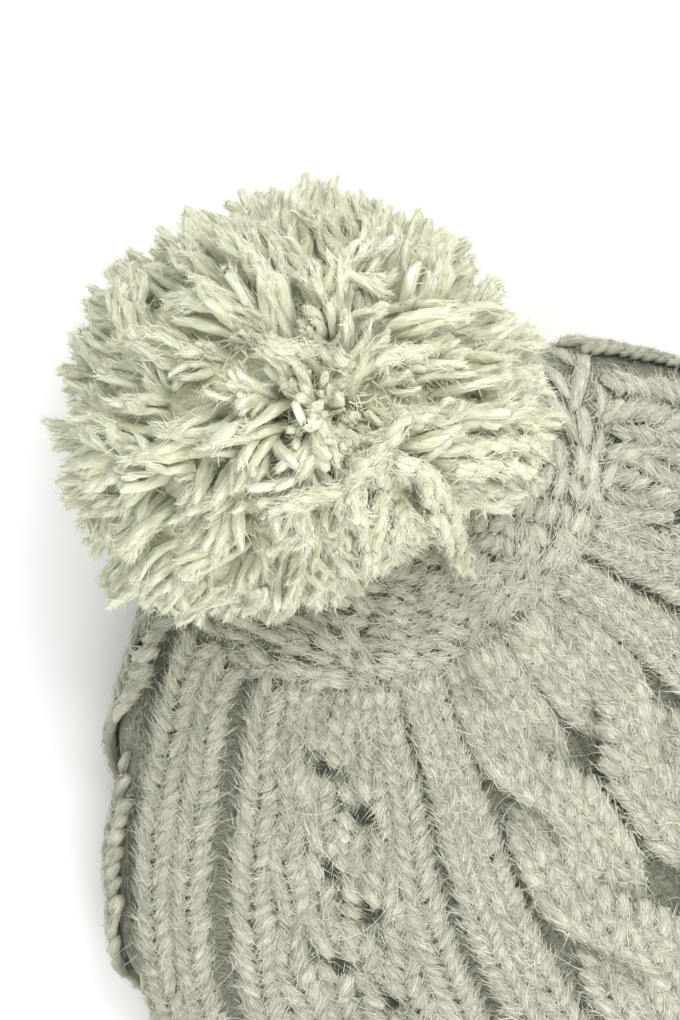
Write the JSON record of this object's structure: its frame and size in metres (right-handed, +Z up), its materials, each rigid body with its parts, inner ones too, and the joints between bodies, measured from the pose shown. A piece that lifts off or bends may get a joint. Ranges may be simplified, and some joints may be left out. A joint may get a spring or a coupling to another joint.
{
  "type": "bobble beanie",
  "caption": "Cable-knit beanie lying on its side, with a ribbed opening and a large yarn pompom tied to its crown.",
  "frame": {"origin": "on the floor, under the middle of the whole beanie as it lies", "axes": "+X from the crown and its pompom to the ribbed opening, +Z up from the floor, +Y across the hat"},
  "size_m": [0.327, 0.235, 0.1149],
  "materials": {
    "wool": "fuzzy pale sage wool, knitted",
    "bobble_yarn": "fuzzy pale cream-green twisted yarn"
  },
  "bodies": {
    "root": {"knit_body": "wool", "rib_band": "wool", "pompom": "bobble_yarn", "pompom_tie": "bobble_yarn"}
  },
  "joints": []
}
